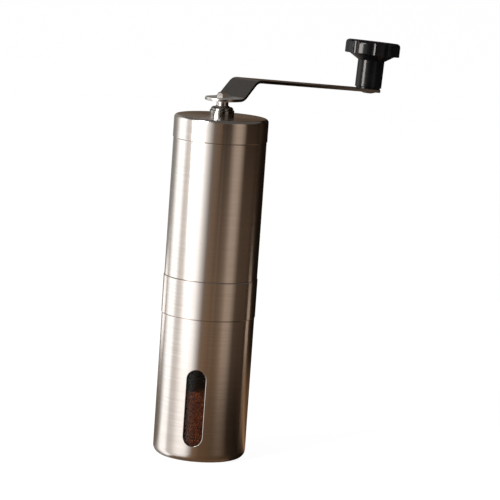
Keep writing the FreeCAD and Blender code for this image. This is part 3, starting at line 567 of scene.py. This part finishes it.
def upright_faces(mesh, bearings, radius, low, high):
    """Row of upright faces round the axis, and its posts of foot and head at the bearings."""
    posts = [
        [mesh.verts.new(heading(bearing) * radius + upward(height)) for height in (low, high)]
        for bearing in bearings
    ]
    for (foot, head), (next_foot, next_head) in zip(posts, posts[1:]):
        mesh.faces.new((foot, next_foot, next_head, head))
    return posts


def drum_wall():
    """Upright wall whose glow comes from its stops."""
    mesh = bmesh.new()
    shade = mesh.verts.layers.float_color.new(GLOW_STOPS)
    posts = upright_faces(mesh, [bearing for bearing, _, _ in DRUM_WALL], DRUM_RADIUS, DRUM_LOW, DRUM_HIGH)
    for post, (_, tone, level) in zip(posts, DRUM_WALL):
        for vertex in post:
            vertex[shade] = (*(part * level for part in tone), 1.0)
    material, glow = glow_material("drum_wall")
    glow_stops(material, glow)
    glow_card("drum_wall", mesh, material)


def disc(radius, height):
    mesh = bmesh.new()
    bmesh.ops.create_circle(mesh, cap_ends=True, segments=DISC_SEGMENTS, radius=radius)
    bmesh.ops.translate(mesh, verts=mesh.verts, vec=upward(height))
    return mesh


def drum_ends():
    """Dim ceiling and a warm ground far below."""
    for name, height, colour in (
        ("drum_ceiling", DRUM_HIGH, DRUM_CEILING),
        ("drum_floor", DRUM_LOW, DRUM_FLOOR),
    ):
        material, _ = glow_material(name, colour)
        glow_card(name, disc(DRUM_END_RADIUS, height), material)


def table_top():
    """Table top round the cup, in reflections only, that hides more of the drum at some bearings."""
    mesh = bmesh.new()
    shade = mesh.verts.layers.float_color.new(GLOW_STOPS)
    spokes = []
    for bearing, tone, near_level, near_share, far_level, far_share in TABLE_TOP:
        spoke = []
        for reach, level, share in (
            (TABLE_HOLE, near_level, near_share),
            (TABLE_NEAR, near_level, near_share),
            (TABLE_FAR, far_level, far_share),
            (TABLE_RADIUS, far_level, 0.0),
        ):
            vertex = mesh.verts.new(heading(bearing) * reach + upward(TABLE_HEIGHT))
            vertex[shade] = (*(part * level for part in tone), share)
            spoke.append(vertex)
        spokes.append(spoke)
    for spoke, after in zip(spokes, spokes[1:]):
        for step in range(len(spoke) - 1):
            mesh.faces.new((spoke[step], spoke[step + 1], after[step + 1], after[step]))
    material, glow = glow_material("table_top")
    stops = glow_stops(material, glow)
    tree = material.node_tree
    clear = tree.nodes.new("ShaderNodeBsdfTransparent")
    mix_surfaces(tree, stops.outputs["Alpha"], clear.outputs["BSDF"], glow.outputs["Emission"])
    glow_card("table_top", mesh, material)


def side_cards():
    """Upright glowing cards: one for the knob, one for the boss, and low ones that cup and band mirror."""
    axis = Vector((0.0, 0.0, 0.0))
    for name, seen_from, bearing, distance, width, low, high, tone, level in (
        ("knob_card", crank_reach(), -53, 0.6, 0.20, 0.16, 0.30, IVORY, 28.0),
        ("boss_card", axis, -47, 0.12, 0.05, 0.155, 0.185, WHITE, 7.5),
        ("left_card", axis, -140, 0.35, 0.12, 0.0, 0.05, IVORY, 1.9),
        ("right_card", axis, 114, 0.35, 0.07, 0.0, 0.038, SAND, 0.8),
    ):
        way = heading(bearing)
        across = Vector((-way.y, way.x, 0.0)) * width / 2
        middle = Vector((seen_from.x, seen_from.y, 0.0)) + way * distance
        mesh = bmesh.new()
        mesh.faces.new([
            mesh.verts.new(middle + across * side + upward(height))
            for side, height in ((-1, low), (1, low), (1, high), (-1, high))
        ])
        material, _ = glow_material(name, tone, level)
        glow_card(name, mesh, material)


def dark_screens():
    """Dark upright screens, in reflections only, that the pieces round the shaft mirror on their right."""
    mesh = bmesh.new()
    for first, last in SCREENS:
        bearings = [first + (last - first) * step / SCREEN_STEPS for step in range(SCREEN_STEPS + 1)]
        upright_faces(mesh, bearings, SCREEN_RADIUS, SCREEN_LOW, SCREEN_HIGH)
    material, _ = glow_material("dark_screens", SOOT, SCREEN_LEVEL)
    glow_card("dark_screens", mesh, material)


def background_share(tree, low, high):
    """The high value for rays that show the background, from the camera, in a reflection or through glass, and
    the low one for the others."""
    path = tree.nodes.new("ShaderNodeLightPath")
    total = path.outputs["Is Camera Ray"]
    for kind in ("Is Glossy Ray", "Is Transmission Ray"):
        larger = tree.nodes.new("ShaderNodeMath")
        larger.operation = "MAXIMUM"
        tree.links.new(total, larger.inputs[0])
        tree.links.new(path.outputs[kind], larger.inputs[1])
        total = larger.outputs["Value"]
    spread = tree.nodes.new("ShaderNodeMapRange")
    spread.inputs["To Min"].default_value = low
    spread.inputs["To Max"].default_value = high
    tree.links.new(total, spread.inputs["Value"])
    return spread.outputs["Result"]


def studio_world():
    """White background, and a softer white that lights the scene."""
    world = bpy.data.worlds.new("studio")
    world.use_nodes = True
    bpy.context.scene.world = world
    tree = world.node_tree
    background = tree.nodes["Background"]
    background.inputs["Color"].default_value = (1.0, 1.0, 1.0, 1.0)
    tree.links.new(background_share(tree, AMBIENT, 1.0), background.inputs["Strength"])


def studio_floor():
    """Pale floor that melts into the white background and keeps a soft shadow."""
    shader = Shader("pale_floor", roughness=FLOOR_ROUGHNESS, specular_ior_level=FLOOR_GLOSS)
    shader.principled.inputs["Base Color"].default_value = (*FLOOR_COLOUR, 1.0)
    glow = shader.node("ShaderNodeEmission", strength=FLOOR_GLOW)
    share = background_share(shader.tree, 0.0, FLOOR_SHARE)
    mix_surfaces(shader.tree, share, shader.principled.outputs["BSDF"], glow.outputs["Emission"])
    floor = build("floor", disc(FLOOR_RADIUS, 0.0), shader.material)
    floor.visible_glossy = False


def soft_lamp(name, bearing, elevation, distance, width, power, mirrored):
    """Square soft lamp that looks at the grinder's middle, and may show in reflections."""
    lamp = bpy.data.lights.new(name, "AREA")
    lamp.size = width
    lamp.energy = power
    lamp.color = WHITE
    thing = link(name, lamp)
    thing.visible_glossy = mirrored
    rise = math.radians(elevation)
    way = heading(bearing) * math.cos(rise) + upward(math.sin(rise))
    stand = Matrix.Translation(upward(TARGET_HEIGHT) + way * distance)
    thing.matrix_world = stand @ way.to_track_quat("Z", "Y").to_matrix().to_4x4()


def studio_camera():
    """Camera at the photograph's angle."""
    back = to_camera * math.cos(CAMERA_ELEVATION) + upward(math.sin(CAMERA_ELEVATION))
    up = back.cross(to_right)
    right = to_right * math.cos(CAMERA_ROLL) + up * math.sin(CAMERA_ROLL)
    turn = Matrix((right, back.cross(right), back)).transposed().to_4x4()
    target = to_right * TARGET_RIGHT + upward(TARGET_HEIGHT)
    data = bpy.data.cameras.new("camera")
    data.sensor_fit = "HORIZONTAL"
    data.sensor_width = SENSOR_WIDTH
    data.lens = LENS
    camera = link("camera", data)
    camera.matrix_world = Matrix.Translation(target + back * CAMERA_DISTANCE) @ turn
    bpy.context.scene.camera = camera


dress_nodes()
coffee_grounds()
drum_wall()
drum_ends()
table_top()
side_cards()
dark_screens()
studio_world()
studio_floor()
soft_lamp("key", bearing=-46, elevation=30, distance=1.4, width=0.5, power=20.0, mirrored=True)
soft_lamp("fill", bearing=60, elevation=25, distance=1.6, width=0.9, power=3.0, mirrored=False)
studio_camera()
bpy.context.scene.view_settings.view_transform = "Standard"
